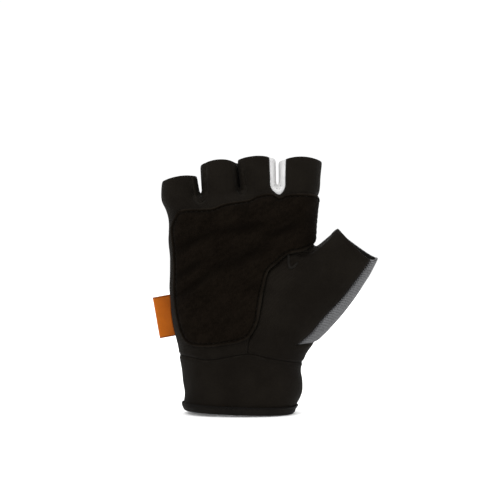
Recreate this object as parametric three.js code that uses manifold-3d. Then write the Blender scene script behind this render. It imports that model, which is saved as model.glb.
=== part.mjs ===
// Half-finger fitness glove, worn form, in millimetres.
// +Z runs to the finger tips, the palm faces -Y and the thumb is on the +X side.
// The origin is the middle of the wrist opening, at the level of the hem.
import * as THREE from 'three';
import { mergeVertices } from 'three/addons/utils/BufferGeometryUtils.js';
import Module from 'manifold-3d';

const wasm = await Module();
wasm.setup();

// Driving dimensions
const wall = 1.2;              // cloth, its backing included
const seamGap = 0.3;           // between two pieces that are sewn together
const padThickness = 1.6;      // suede over thin foam
const bindingThickness = 0.8;  // each side of the band's lower edge
const bindingHeight = 5.6;
const overrun = 6;             // how far the hollow runs on past each opening
const sideSeamDepth = 3;       // the side seams lie this far behind the middle of the hand
const thumbSeamStart = 36;     // from this X outwards the thumb's seams come forward
const thumbSeamSlope = -0.22;
const reach = 70;              // a cutting block is longer than anything that it cuts
const curveSpans = 2;          // straight pieces between two control points of a curved outline

// A row of numbers becomes an object with the column names.
function table(columns, rows) {
  const names = columns.split(' ');
  return rows.map((row) => Object.fromEntries(names.map((name, i) => [name, row[i] ?? 0])));
}

// Sections of the hand from the hem to the roots of the fingers: the X of its two sides and the Y of its
// two faces. Square is the exponent of the oval, 2 for an ellipse. Tilt raises the section towards +X.
const sectionColumns = 'height left right front back square tilt arch lean';
const handSections = table(sectionColumns, [
  [0, -30.2, 30.2, -18.4, 18.4, 2.3, 0.03],
  [4, -31.2, 31.4, -18.9, 18.9, 2.3, 0.02],
  [10, -31.0, 32.5, -19.0, 19.0, 2.3],
  [16, -31.8, 32.7, -18.8, 18.8, 2.3],
  [22, -32.5, 31.9, -18.6, 18.2, 2.35],
  [29, -33.6, 34.0, -18.6, 17.6, 2.4],
  [36, -34.8, 36.6, -18.6, 17.0, 2.5],
  [48, -37.6, 38.0, -18.0, 16.5, 2.6],
  [64, -38.9, 38.2, -16.8, 16.0, 2.6],
  [82, -38.9, 38.4, -16.0, 15.7, 2.6],
  [94, -39.8, 38.4, -15.6, 15.6, 2.6],
  [103, -38.9, 38.5, -15.2, 15.2, 2.5, 0.02],
  [109, -39.8, 38.4, -14.2, 14.2, 2.5, 0.06],
  [114, -39.6, 38.4, -11.8, 11.8, 2.4, 0.09],
  [117, -39.0, 38.0, -8.6, 8.6, 2.2, 0.11],
  [118.2, -38.0, 37.0, -5.6, 5.6, 2.1, 0.115],
]);

// Sections of each finger sleeve. Arch lifts the middle of the rim above its corners.
const fingerSections = {
  little: table(sectionColumns, [
    [98, -38.0, -22.0, -10.0, 10.0, 2.2],
    [106, -39.6, -21.6, -11.4, 11.4, 2.2],
    [112, -43.0, -21.7, -10.4, 10.4, 2.3],
    [118, -43.6, -22.9, -9.5, 9.5, 2.3, 0.03, 0.4],
    [124.2, -43.0, -24.3, -9.0, 9.0, 2.3, 0.07, 1.4],
  ]),
  ring: table(sectionColumns, [
    [98, -20.0, -3.0, -10.5, 10.5, 2.2],
    [108, -21.5, -0.8, -12.4, 12.4, 2.3],
    [116, -21.7, -0.8, -11.2, 11.2, 2.3],
    [125, -22.2, -1.5, -10.4, 10.4, 2.3, 0.03, 0.5],
    [133.2, -22.6, -2.5, -10.0, 10.0, 2.3, 0.07, 2.0],
  ]),
  middle: table(sectionColumns, [
    [98, 1.0, 17.0, -10.5, 10.5, 2.2],
    [108, 0.5, 18.7, -12.6, 12.6, 2.3],
    [116, 0.4, 18.6, -11.4, 11.4, 2.3],
    [125, -1.0, 18.3, -10.6, 10.6, 2.3, 0.01, 0.5],
    [134.4, -2.0, 18.2, -10.2, 10.2, 2.3, 0.03, 1.6],
  ]),
  index: table(sectionColumns, [
    [98, 22.0, 36.5, -10.5, 10.5, 2.2],
    [108, 20.3, 38.5, -12.6, 12.6, 2.3],
    [114, 20.0, 39.4, -11.8, 11.8, 2.3],
    [118, 19.9, 41.0, -11.4, 11.4, 2.3],
    [126, 19.8, 41.6, -11.0, 11.0, 2.3, 0, 0.6],
    [133.6, 19.7, 42.4, -10.7, 10.7, 2.3, 0, 2.2],
  ]),
};

// The thumb is measured along its own axis, 0 at the rim and negative towards the heel of the hand.
// Its left side is towards the index finger. Lean drops the rim towards the palm face.
const thumbRim = new THREE.Vector3(61.8, -7, 89.8);
const thumbAxis = new THREE.Vector3(0.594, -0.12, 0.805).normalize();
const thumbSections = table(sectionColumns, [
  [-66, -18.0, 8.0, -8.0, 9.0, 2.2],
  [-58, -26.0, 13.0, -15.5, 12.0, 2.2],
  [-50, -28.0, 14.7, -17.6, 13.0, 2.2],
  [-37, -25.0, 16.2, -16.8, 13.2, 2.2],
  [-22, -17.4, 16.1, -14.6, 13.0, 2.2],
  [-14, -15.5, 15.4, -13.4, 12.6, 2.2, 0, 0, 0.03],
  [0, -13.7, 13.7, -12.5, 12.0, 2.2, 0, -1.6, 0.13],
]);

// Broad swellings and hollows of the palm face, then its creases, each a valley along a straight line.
const palmSwellings = table('x z wide high depth', [
  [-3, 68, 15, 20, -2.4],
  [-23, 46, 13, 17, 1.6],
  [0, 103, 40, 7, 0.9],
]);
const palmCreases = table('x1 z1 x2 z2 wide depth', [
  [-34, 87, -18, 94.5, 2.4, 0.9],
  [-18, 94.5, 10, 99.5, 2.4, 0.8],
  [-34, 61, -12.5, 77.5, 2.6, 1.0],
  [-12.5, 77.5, 14, 88, 2.6, 0.9],
  [24, 83.8, 36, 85.4, 2.0, 1.2],
]);

// Outlines seen from the palm side, as X and Z of the points that a smooth curve passes through.
const wristSeam = [[-40, 30], [-30, 30], [-18, 28.4], [-6, 30.4], [4.3, 31.7], [14, 29.4], [31, 26.4], [44, 26]];
const thumbSeam = [
  [46, 93.5], [40.6, 88.6], [36, 85.4], [30, 84.8], [24, 83.5], [18.6, 79], [14, 75], [11.4, 66],
  [9.6, 56], [7.4, 47], [4.6, 41], [3.4, 36], [3, 24],
];
const thumbBackSeam = [[46, 93.5], [40.6, 88.6], [34, 84], [27, 74], [23.5, 60], [22.5, 48], [23.5, 36.3]];
const thumbSideSeam = [
  [75, 90.2], [67.6, 79.8], [59.5, 68.8], [51.6, 59.2], [42.9, 50], [36.8, 42.2], [33.3, 39.1], [29.4, 36.1],
];
const thumbCorner = [46, 36.9];
const padOutline = [
  [-35.2, 104.6], [-34, 106.6], [-31, 107.9], [-22, 108.1], [-15.7, 108.5], [-9.4, 110.8], [-0.5, 112.2],
  [3.7, 112.9], [8, 115], [13.8, 116.2], [17.2, 115.6], [19.8, 114.2], [22.4, 115.4], [28, 116.3],
  [36, 116.3], [40, 115], [44, 112], [43.6, 97], [41.4, 90.6], [35.7, 85.9], [30, 85.2], [24, 83.9],
  [18.7, 79.4], [14.3, 75.3], [11.8, 66], [10, 56], [7.9, 47], [3.3, 39.9], [-1.5, 37.8], [-6.2, 36.8],
  [-14.1, 35.7], [-20.4, 35.5], [-26.2, 36.1], [-29.9, 38.6], [-32.5, 43.8], [-34.2, 50], [-35.9, 60],
  [-36.2, 80], [-37, 91], [-37.4, 98],
];

// The notch that each gusset fills between two sleeves: its bottom, and its sides low down and at the rims.
const gussetColumns = 'bottom middle leftLow rightLow leftHigh rightHigh';
const gussetNotches = {
  gusset_ring_little: table(gussetColumns, [[111.6, -22.0, -25.7, -19.0, -28.4, -19.6]])[0],
  gusset_middle_ring: table(gussetColumns, [[116.2, -0.1, -2.4, 2.1, -4.6, 0.0]])[0],
  gusset_index_middle: table(gussetColumns, [[116.2, 19.9, 15.6, 22.6, 15.1, 22.9]])[0],
};
const notchShoulder = 4.5;  // from the bottom of a notch up to where its sides run straight
const notchTop = 142;
const domeStart = 106;      // the hand closes between the fingers from here up
const rimLevel = 134;

// The side label, a strip folded double and caught in the outer side seam.
const label = { height: 22.5, length: 13, leaf: 0.55, between: 0.5, turn: -0.18 };
const labelMiddle = new THREE.Vector3(-40.2, sideSeamDepth, 50.7);

// Mesh densities
const handSides = 30;
const fingerSides = 16;
const thumbSides = 20;
const handStep = 8;
const fingerStep = 6.4;
const thumbStep = 7.5;

// A smooth value between the rows of a table, by the Catmull-Rom rule on uneven heights.
function sectionAt(rows, height) {
  const last = rows.length - 1;
  let i = 0;
  while (i < last - 1 && rows[i + 1].height < height) i += 1;
  const before = rows[Math.max(i - 1, 0)];
  const a = rows[i];
  const b = rows[i + 1];
  const after = rows[Math.min(i + 2, last)];
  const t = (height - a.height) / (b.height - a.height);
  const section = {};
  for (const key of Object.keys(a)) {
    const slopeA = (b[key] - before[key]) / (b.height - before.height);
    const slopeB = (after[key] - a[key]) / (after.height - a.height);
    const span = b.height - a.height;
    const h00 = 2 * t ** 3 - 3 * t ** 2 + 1;
    const h10 = t ** 3 - 2 * t ** 2 + t;
    const h01 = 3 * t ** 2 - 2 * t ** 3;
    const h11 = t ** 3 - t ** 2;
    section[key] = h00 * a[key] + h10 * span * slopeA + h01 * b[key] + h11 * span * slopeB;
  }
  section.height = height;
  return section;
}

// How far the palm face stands out of its plain oval at a place, in millimetres.
function palmRelief(x, z) {
  let relief = 0;
  for (const s of palmSwellings) {
    relief += s.depth * Math.exp(-(((x - s.x) / s.wide) ** 2) - ((z - s.z) / s.high) ** 2);
  }
  for (const c of palmCreases) {
    const dx = c.x2 - c.x1;
    const dz = c.z2 - c.z1;
    const along = THREE.MathUtils.clamp(((x - c.x1) * dx + (z - c.z1) * dz) / (dx * dx + dz * dz), 0, 1);
    const away = Math.hypot(x - c.x1 - along * dx, z - c.z1 - along * dz);
    relief -= c.depth * Math.exp(-((away / c.wide) ** 2));
  }
  return relief;
}

// A closed tube through the sections of a table. Grow moves its whole surface out or in, its end too where it
// is domed from some height up, and runs carry its ends straight on past its openings.
function loft(rows, frame, sides, step, grow, runs, relief) {
  const last = rows[rows.length - 1].height;
  const heights = rows.slice(0, -1).flatMap((row, i) => {
    const span = rows[i + 1].height - row.height;
    const count = Math.max(Math.round(span / step), 1);
    return Array.from({ length: count }, (_, j) => row.height + (span * j) / count);
  });
  const rings = [...heights, last].map((height) => {
    const dome = runs.domeFrom ? THREE.MathUtils.clamp((height - runs.domeFrom) / (last - runs.domeFrom), 0, 1) : 0;
    return { section: sectionAt(rows, height), shift: grow * dome };
  });
  if (runs.start) rings.unshift({ section: rings[0].section, shift: -runs.start });
  if (runs.end) rings.push({ section: rings[rings.length - 1].section, shift: runs.end });
  const points = [];
  const place = new THREE.Vector3();
  const addPoint = (u, v, h) => {
    place.copy(frame.origin).addScaledVector(frame.across, u).addScaledVector(frame.through, v);
    place.addScaledVector(frame.along, h);
    points.push(place.x, place.y, place.z);
  };
  for (const { section, shift } of rings) {
    const half = (section.right - section.left) / 2 + grow;
    const middle = (section.right + section.left) / 2;
    for (let k = 0; k < sides; k += 1) {
      const angle = (2 * Math.PI * k) / sides;
      const cos = Math.sign(Math.cos(angle)) * Math.abs(Math.cos(angle)) ** (2 / section.square);
      const sin = Math.sign(Math.sin(angle)) * Math.abs(Math.sin(angle)) ** (2 / section.square);
      const face = sin < 0 ? grow - section.front : section.back + grow;
      const u = middle + half * cos;
      const h = section.height + shift + section.tilt * u + section.arch * (1 - cos * cos);
      const raised = relief && sin < 0 ? relief(u, h) * sin : 0;
      addPoint(u, face * sin + raised, h + section.lean * face * sin);
    }
  }
  const startCap = points.length / 3;
  for (const { section, shift } of [rings[0], rings[rings.length - 1]]) {
    const u = (section.right + section.left) / 2;
    addPoint(u, (section.front + section.back) / 2, section.height + shift + section.tilt * u + section.arch * 0.5);
  }
  const faces = [];
  for (let i = 0; i < rings.length - 1; i += 1) {
    for (let k = 0; k < sides; k += 1) {
      const next = (k + 1) % sides;
      const [a, b, c, d] = [i * sides + k, i * sides + next, (i + 1) * sides + next, (i + 1) * sides + k];
      faces.push(a, b, c, a, c, d);
    }
  }
  const top = (rings.length - 1) * sides;
  for (let k = 0; k < sides; k += 1) {
    const next = (k + 1) % sides;
    faces.push(startCap, next, k, startCap + 1, top + k, top + next);
  }
  return solid(new Float32Array(points), new Uint32Array(faces));
}

function solid(vertProperties, triVerts) {
  return new wasm.Manifold(new wasm.Mesh({ numProp: 3, vertProperties, triVerts }));
}

function solidOf(geometry) {
  geometry.deleteAttribute('normal');
  geometry.deleteAttribute('uv');
  const merged = mergeVertices(geometry, 1e-4);
  return solid(new Float32Array(merged.attributes.position.array), new Uint32Array(merged.index.array));
}

// A block with the given outline in X and Z, from one Y to another. Slope leans its Y ends along X.
function block(outline, yMin, yMax, slope = 0) {
  const shape = new THREE.Shape(outline.map(([x, z]) => new THREE.Vector2(x, z)));
  const geometry = new THREE.ExtrudeGeometry(shape, { depth: yMax - yMin, steps: 1, bevelEnabled: false });
  geometry.rotateX(Math.PI / 2);
  geometry.translate(0, yMax, 0);
  const lean = new THREE.Matrix4();
  lean.set(1, 0, 0, 0, slope, 1, 0, -slope * thumbSeamStart, 0, 0, 1, 0, 0, 0, 0, 1);
  geometry.applyMatrix4(lean);
  return solidOf(geometry);
}

// Points along a smooth curve through the given ones, closer together where the curve turns.
function curveThrough(points, closed = false) {
  const knots = points.map(([x, z]) => new THREE.Vector3(x, z, 0));
  const curve = new THREE.CatmullRomCurve3(knots, closed, 'centripetal');
  const found = curve.getPoints(points.length * curveSpans).map((p) => [p.x, p.y]);
  return closed ? found.slice(0, -1) : found;
}

// The same outline moved outwards, or inwards when the distance is negative.
function offset(outline, distance) {
  const count = outline.length;
  let area = 0;
  outline.forEach(([x, z], i) => {
    const [nx, nz] = outline[(i + 1) % count];
    area += x * nz - nx * z;
  });
  const side = Math.sign(area) * distance;
  return outline.map(([x, z], i) => {
    const [px, pz] = outline[(i + count - 1) % count];
    const [nx, nz] = outline[(i + 1) % count];
    const along = new THREE.Vector2(x - px, z - pz).normalize();
    const onward = new THREE.Vector2(nx - x, nz - z).normalize();
    const normal = new THREE.Vector2(along.y + onward.y, -along.x - onward.x).normalize();
    const stretch = 1 / Math.max(normal.dot(new THREE.Vector2(along.y, -along.x)), 0.5);
    return [x + normal.x * side * stretch, z + normal.y * side * stretch];
  });
}

const handFrame = {
  origin: new THREE.Vector3(),
  across: new THREE.Vector3(1, 0, 0),
  through: new THREE.Vector3(0, 1, 0),
  along: new THREE.Vector3(0, 0, 1),
};
const thumbAcross = new THREE.Vector3(thumbAxis.z, 0, -thumbAxis.x).normalize();
const thumbFrame = {
  origin: thumbRim,
  across: thumbAcross,
  through: new THREE.Vector3().crossVectors(thumbAxis, thumbAcross),
  along: thumbAxis,
};

// The whole gloved form as one body, its surface moved out by grow. Runs carry it on past its openings.
function gloveForm(grow, run) {
  let form = loft(handSections, handFrame, handSides, handStep, grow, { start: run, domeFrom: domeStart }, palmRelief);
  for (const rows of Object.values(fingerSections)) {
    form = form.add(loft(rows, handFrame, fingerSides, fingerStep, grow, { end: run }));
  }
  return form.add(loft(thumbSections, thumbFrame, thumbSides, thumbStep, grow, { end: run }));
}

const shell = gloveForm(0, 0).subtract(gloveForm(-wall, overrun));

// One piece is cut out of what is left of the shell, half a seam's gap inside its outline.
let remaining = shell;
function takePiece(makeRegion) {
  const piece = remaining.intersect(makeRegion(-seamGap / 2));
  remaining = remaining.subtract(makeRegion(seamGap / 2));
  return piece;
}

function wristRegion(grow) {
  const outline = [[-60, -20], [60, -20], ...curveThrough(wristSeam).reverse()];
  outline[2] = [60, outline[2][1]];
  outline[outline.length - 1] = [-60, outline[outline.length - 1][1]];
  return block(offset(outline, grow), -reach, reach);
}

// A notch is a rounded U, wider or narrower towards the rims.
function notchOutline(notch) {
  const shoulder = notch.bottom + notchShoulder;
  const side = (low, high, z) => low + ((high - low) * (z - shoulder)) / (rimLevel - shoulder);
  const left = [side(notch.leftLow, notch.leftHigh, notchTop), notchTop];
  const right = [side(notch.rightLow, notch.rightHigh, notchTop), notchTop];
  const down = [[notch.leftLow, shoulder], [(notch.leftLow * 0.7 + notch.middle * 0.3), shoulder - 2.4]];
  const up = [[(notch.rightLow * 0.75 + notch.middle * 0.25), shoulder - 2.4], [notch.rightLow, shoulder]];
  return [left, ...curveThrough([...down, [notch.middle, notch.bottom], ...up]), right];
}

function thumbBackRegion(grow) {
  const strip = [...curveThrough(thumbSideSeam), thumbCorner, [95, 36.9], [95, 87]];
  const back = [...curveThrough(thumbBackSeam), thumbCorner, [95, 36.9], [95, 120], [60, 120]];
  const outer = block(offset(strip, grow), -reach, reach);
  return outer.add(block(offset(back, grow), sideSeamDepth - grow, reach, thumbSeamSlope));
}

function thumbFrontRegion(grow) {
  const outline = [...curveThrough(thumbSeam), [60, 20], [95, 60], [95, 120], [60, 120]];
  return block(offset(outline, grow), -reach, sideSeamDepth + grow, thumbSeamSlope);
}

// Behind the side seams, and below the thumb where only the back's cloth is left.
function backRegion(grow) {
  const all = [[-90, -20], [90, -20], [90, 160], [-90, 160]];
  const underThumb = [[24, 10], [60, 10], [60, 60], [24, 60]];
  return block(offset(all, grow), sideSeamDepth - grow, reach).add(block(underThumb, -reach, reach));
}

const pieces = { wrist_band: takePiece(wristRegion) };
for (const [name, notch] of Object.entries(gussetNotches)) {
  pieces[name] = takePiece((grow) => block(offset(notchOutline(notch), grow), -reach, reach));
}
pieces.thumb_back = takePiece(thumbBackRegion);
pieces.thumb_front = takePiece(thumbFrontRegion);
pieces.back_panel = takePiece(backRegion);
pieces.palm_panel = remaining;

// The suede pad lies on the palm face and turns a little way round the index side.
function palmPad() {
  const layer = gloveForm(seamGap + padThickness, 0).subtract(gloveForm(seamGap, 0));
  return layer.intersect(block(curveThrough(padOutline, true), -reach, 1));
}

// The binding folds over the band's lower edge, with a channel that the edge stands in.
function cuffBinding() {
  const rows = handSections;
  const outward = seamGap + bindingThickness;
  const hoop = (grow, run) => loft(rows, handFrame, handSides, handStep, grow, { start: run }, palmRelief);
  const fold = bindingThickness + seamGap;
  const body = hoop(outward, fold).subtract(hoop(-wall - outward, fold + overrun));
  const channel = hoop(seamGap, seamGap).subtract(hoop(-wall - seamGap, overrun));
  const lowest = [[-60, -20], [60, -20], [60, bindingHeight + 1], [-60, bindingHeight - 1]];
  return body.subtract(channel).intersect(block(lowest, -reach, reach));
}

// Two leaves of ribbon joined by a round fold at their outer end, trimmed to stand against the side seam.
function sideLabel() {
  const { height, length, leaf, between, turn } = label;
  const outside = leaf + between / 2;
  const profile = new THREE.Shape();
  profile.moveTo(length / 2, outside);
  profile.lineTo(-length / 2 + outside, outside);
  profile.absarc(-length / 2 + outside, 0, outside, Math.PI / 2, (3 * Math.PI) / 2, false);
  profile.lineTo(length / 2, -outside);
  profile.lineTo(length / 2, -between / 2);
  profile.lineTo(-length / 2 + outside, -between / 2);
  profile.absarc(-length / 2 + outside, 0, between / 2, (3 * Math.PI) / 2, Math.PI / 2, true);
  profile.lineTo(length / 2, between / 2);
  const ribbon = new THREE.ExtrudeGeometry(profile, { depth: height, steps: 1, bevelEnabled: false, curveSegments: 6 });
  ribbon.translate(0, 0, -height / 2);
  ribbon.rotateY(turn);
  ribbon.translate(labelMiddle.x, labelMiddle.y, labelMiddle.z);
  return solidOf(ribbon).subtract(gloveForm(seamGap, 0));
}

pieces.palm_pad = palmPad();
pieces.cuff_binding = cuffBinding();
pieces.side_label = sideLabel();

const blackCloth = { color: 0x1a1815, roughness: 0.72 };
const meshCloth = { color: 0x7c7d7f, roughness: 0.85 };
const finishes = {
  palm_panel: blackCloth,
  thumb_front: blackCloth,
  wrist_band: blackCloth,
  gusset_middle_ring: blackCloth,
  gusset_ring_little: blackCloth,
  cuff_binding: { color: 0x161412, roughness: 0.6 },
  back_panel: meshCloth,
  thumb_back: meshCloth,
  gusset_index_middle: { color: 0xd9dade, roughness: 0.8 },
  palm_pad: { color: 0x120e0a, roughness: 0.95 },
  side_label: { color: 0xd0722a, roughness: 0.6 },
};

const glove = new THREE.Group();
for (const [name, piece] of Object.entries(pieces)) {
  const { vertProperties, triVerts } = piece.getMesh();
  const geometry = new THREE.BufferGeometry();
  geometry.setAttribute('position', new THREE.BufferAttribute(new Float32Array(vertProperties), 3));
  geometry.setIndex(new THREE.BufferAttribute(new Uint32Array(triVerts), 1));
  geometry.computeVertexNormals();
  const mesh = new THREE.Mesh(geometry, new THREE.MeshStandardMaterial({ ...finishes[name], metalness: 0 }));
  mesh.name = name;
  glove.add(mesh);
}
export default glove;
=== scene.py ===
import bpy
import numpy as np
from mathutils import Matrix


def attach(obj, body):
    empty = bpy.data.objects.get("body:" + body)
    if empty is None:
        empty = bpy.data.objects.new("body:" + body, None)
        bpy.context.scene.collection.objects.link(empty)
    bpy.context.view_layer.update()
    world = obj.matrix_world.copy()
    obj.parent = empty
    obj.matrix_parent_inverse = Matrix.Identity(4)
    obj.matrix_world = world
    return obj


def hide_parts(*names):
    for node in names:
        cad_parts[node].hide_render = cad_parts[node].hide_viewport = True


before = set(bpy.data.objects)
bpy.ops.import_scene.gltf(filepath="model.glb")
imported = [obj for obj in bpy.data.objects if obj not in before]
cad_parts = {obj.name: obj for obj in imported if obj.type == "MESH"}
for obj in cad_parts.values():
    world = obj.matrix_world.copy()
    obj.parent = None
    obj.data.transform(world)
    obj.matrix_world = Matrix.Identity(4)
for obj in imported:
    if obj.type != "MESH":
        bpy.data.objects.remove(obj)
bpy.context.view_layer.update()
mm = 0.001
rng = np.random.default_rng(7)

# Camera, light and stage; the view is in millimetres
view = {"middle": (4.3, 86.4), "span": 270, "distance": 650, "sensor": 36}


def unit(v):
    return v / np.maximum(np.linalg.norm(v, axis=-1, keepdims=True), 1e-12)


def bell(t):
    return np.exp(-(t**2))


def circle(count):
    return np.linspace(0, 2 * np.pi, count, endpoint=False)


# One point for each set of coordinates; a single number counts for all of them
def places(x, y, z):
    return np.stack(np.broadcast_arrays(x, y, z), axis=-1).astype(float)


def aimed(obj, place, target):
    from mathutils import Vector
    obj.location = place
    obj.rotation_euler = (Vector(target) - Vector(place)).to_track_quat("-Z", "Y").to_euler()
    bpy.context.collection.objects.link(obj)
    return obj


def makeCamera():
    lens = bpy.data.cameras.new("camera")
    lens.sensor_width = view["sensor"]
    lens.lens = view["distance"] * view["sensor"] / view["span"]
    x, z = view["middle"][0] * mm, view["middle"][1] * mm
    camera = aimed(bpy.data.objects.new("camera", lens), (x, -view["distance"] * mm, z), (x, 0, z))
    bpy.context.scene.camera = camera


# Lamps with place, watts and size in metres, and the strength of the air's light
studio = {"key": ((-0.9, -1.3, 1.3), 22, 1.2), "fill": ((1.3, -1.0, 0.7), 8, 1.4),
          "top": ((0.1, 0.2, 1.7), 10, 1.0), "back": ((0.2, 1.5, 1.0), 12, 1.4), "air": 1.04}


def makeStudio():
    for name in ("key", "fill", "top", "back"):
        place, power, size = studio[name]
        lamp = bpy.data.lights.new(name, "AREA")
        lamp.energy, lamp.size = power, size
        aimed(bpy.data.objects.new(name, lamp), place, (0.01, 0, 0.07))
    world = bpy.data.worlds.new("studio air")
    world.use_nodes = True
    air = world.node_tree.nodes["Background"].inputs
    air["Color"].default_value, air["Strength"].default_value = (1, 1, 1, 1), studio["air"]
    bpy.context.scene.world = world
    bpy.context.scene.view_settings.view_transform = "Standard"


# Sections of the worn form in millimetres, nearly as on the CAD part: height, left, right, front, back, how
# square, and tilt; for a finger height, left, right, depth and how square
handRows = [
    [0, -30.2, 27.6, -18.4, 18.4, 2.3, 0.03], [4, -31.2, 30.2, -18.9, 18.9, 2.3, 0.02],
    [10, -31.0, 32.5, -19.0, 19.0, 2.3, 0], [16, -31.8, 32.7, -18.8, 18.8, 2.3, 0],
    [22, -32.5, 31.9, -18.6, 18.2, 2.35, 0], [29, -33.6, 34.0, -18.6, 17.6, 2.4, 0],
    [36, -34.8, 36.6, -18.6, 17.0, 2.5, 0], [48, -37.6, 38.0, -18.0, 16.5, 2.6, 0],
    [64, -38.9, 38.2, -16.8, 16.0, 2.6, 0], [82, -38.9, 38.4, -16.0, 15.7, 2.6, 0],
    [94, -39.8, 38.4, -15.6, 15.6, 2.6, 0], [103, -38.9, 38.5, -15.2, 15.2, 2.5, 0.02],
    [109, -39.8, 38.4, -14.2, 14.2, 2.5, 0.06], [114, -39.6, 38.4, -11.8, 11.8, 2.4, 0.09],
    [117, -39.0, 38.0, -8.6, 8.6, 2.2, 0.11], [118.2, -38.0, 37.0, -5.6, 5.6, 2.1, 0.115]]
fingerRows = {
    "little": [[98, -38.0, -22.0, 10.0, 2.2], [106, -39.6, -21.6, 11.4, 2.2], [112, -43.0, -21.7, 10.4, 2.3],
               [118, -43.6, -22.9, 9.5, 2.3], [126.4, -42.8, -24.4, 8.9, 2.3]],
    "ring": [[98, -20.0, -3.0, 10.5, 2.2], [108, -21.5, -0.8, 12.4, 2.3], [116, -21.7, -0.6, 11.2, 2.3],
             [125, -22.2, -1.35, 10.4, 2.3], [133.2, -22.6, -2.4, 10.0, 2.3]],
    "middle": [[98, 1.0, 17.0, 10.5, 2.2], [108, 0.5, 18.7, 12.6, 2.3], [116, 0.1, 18.6, 11.4, 2.3],
               [125, -0.95, 18.3, 10.6, 2.3], [134.4, -2.0, 18.2, 10.2, 2.3]],
    "index": [[98, 22.0, 36.5, 10.5, 2.2], [108, 20.3, 38.5, 12.6, 2.3], [114, 20.0, 40.2, 11.8, 2.3],
              [118, 19.9, 41.7, 11.4, 2.3], [126, 19.8, 42.4, 11.0, 2.3], [133.6, 19.7, 43.2, 10.7, 2.3]]}
thumbRows = [
    [-66, -18.0, 8.0, -8.0, 9.0, 2.2, 0], [-58, -26.0, 13.0, -15.5, 12.0, 2.2, 0],
    [-50, -28.0, 14.7, -17.6, 13.0, 2.2, 0], [-37, -25.0, 16.2, -16.8, 13.2, 2.2, 0],
    [-22, -19.2, 16.1, -14.6, 13.0, 2.2, 0], [-14, -17.2, 15.4, -13.4, 12.6, 2.2, 0],
    [0, -13.7, 13.7, -12.5, 12.0, 2.2, 0]]
rims = {"little": (129.6, 0.15, 1.0), "ring": (133.2, 0.07, 2.0), "middle": (134.4, 0.03, 1.6),
        "index": (133.6, 0.0, 2.2)}  # height, tilt and arch of each sleeve's edge
thumb = {"rim": (61.8, -7, 89.8), "axis": (0.594, -0.12, 0.805), "frontDip": -1.9, "frontSkew": -0.16,
         "backDip": -2.2, "deep": 12.3, "root": -66, "rootBlend": 3, "radius": 14.5}
form = {"tableStep": 0.25, "webBlend": 3.2, "thumbBlend": 9, "crotchBlend": 3, "blendFrom": 40, "blendOver": 12,
        "domeTop": 118.2, "domeBlend": 3, "sleeveFoot": 98,
        "swellings": [(-3, 68, 15, 20, -2.4), (-23, 46, 13, 17, 1.6), (0, 103, 40, 7, 0.9)],
        "creases": [(-34, 87, -18, 94.5, 2.4, 0.9), (-18, 94.5, 10, 99.5, 2.4, 0.8),
                    (-34, 61, -12.5, 77.5, 2.6, 1.0), (-12.5, 77.5, 14, 88, 2.6, 0.9),
                    (31, 83.5, 34.6, 83.8, 1.5, 2.0), (1, 122, 14, 119.5, 1.2, 0.4),
                    (-20.9, 115.5, -19.2, 110.5, 1.5, 1.1), (17.7, 40.6, 18.2, 36.6, 1.1, 0.35)],
        "ripple": 0.11, "ripples": 9, "ripplePeak": 1.6, "rippleTop": 112, "slitBend": 0.95, "slitMiddle": -0.9,
        "slitWide": 3.5, "slitDeep": 2.5, "sideSeam": 3, "wall": 1.2, "gap": 0.3, "thumbSeamStart": 36,
        "thumbSeamSlope": -0.22, "palmTurn": (30, 44),
        "backCorner": (24, 60, 10, 60)}


# The cubic from a to b with the given slopes at its ends, at shares t of the way
def cubic(t, a, b, slopeA, slopeB):
    return ((2 * t**3 - 3 * t**2 + 1) * a + (t**3 - 2 * t**2 + t) * slopeA
            + (3 * t**2 - 2 * t**3) * b + (t**3 - t**2) * slopeB)


# A table sampled finely by the Catmull-Rom rule on uneven heights: a cubic through each pair of rows, with
# the slope at a row taken from its two neighbours
def sampled(rows):
    r = np.array(rows, float)
    h = r[:, 0]
    ahead, behind = np.vstack([r[1:], r[-1:]]), np.vstack([r[:1], r[:-1]])
    slope = (ahead - behind) / (ahead[:, :1] - behind[:, :1])
    at = np.arange(h[0], h[-1] + form["tableStep"] / 2, form["tableStep"])
    i = np.clip(np.searchsorted(h, at, side="right") - 1, 0, len(h) - 2)
    span = (h[i + 1] - h[i])[:, None]
    t = (at - h[i])[:, None] / span
    return h[0], cubic(t, r[i], r[i + 1], span * slope[i], span * slope[i + 1])[:, 1:]


handTable = sampled(handRows)
fingerTables = {name: sampled([[h, left, right, -deep, deep, square, 0] for h, left, right, deep, square in rows])
                for name, rows in fingerRows.items()}
thumbTable = sampled(thumbRows)
thumbAxis = unit(np.array(thumb["axis"]))
thumbAcross = unit(np.array([thumbAxis[2], 0, -thumbAxis[0]]))
thumbThrough = np.cross(thumbAxis, thumbAcross)
thumbRim = np.array(thumb["rim"], float)


# Distance to a tube of superellipse sections: (size of the section through the point - 1) / its gradient
def tubeDistance(table, u, v, h):
    start, values = table
    at = np.clip((h - start) / form["tableStep"], 0, len(values) - 1.001)
    i = at.astype(int)
    f = (at - i)[:, None]
    left, right, front, back, square, tilt = (values[i] * (1 - f) + values[i + 1] * f).T
    half = (right - left) / 2
    deep = np.where(v < 0, -front, back)
    a = np.abs(u - (left + right) / 2) / half + 1e-9
    b = np.abs(v) / deep + 1e-9
    r = (a**square + b**square) ** (1 / square)
    slope = r ** (1 - square) * np.sqrt((a ** (square - 1) / half) ** 2 + (b ** (square - 1) / deep) ** 2)
    return (r - 1) / np.maximum(slope, 0.4 / half)


# Smooth join of two distances over a width k, the usual quadratic one; a negative sign gives the smooth cut
def joined(a, b, k):
    h = np.maximum(k - np.abs(a - b), 0) / k
    return np.minimum(a, b) - h * h * k / 4


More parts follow.
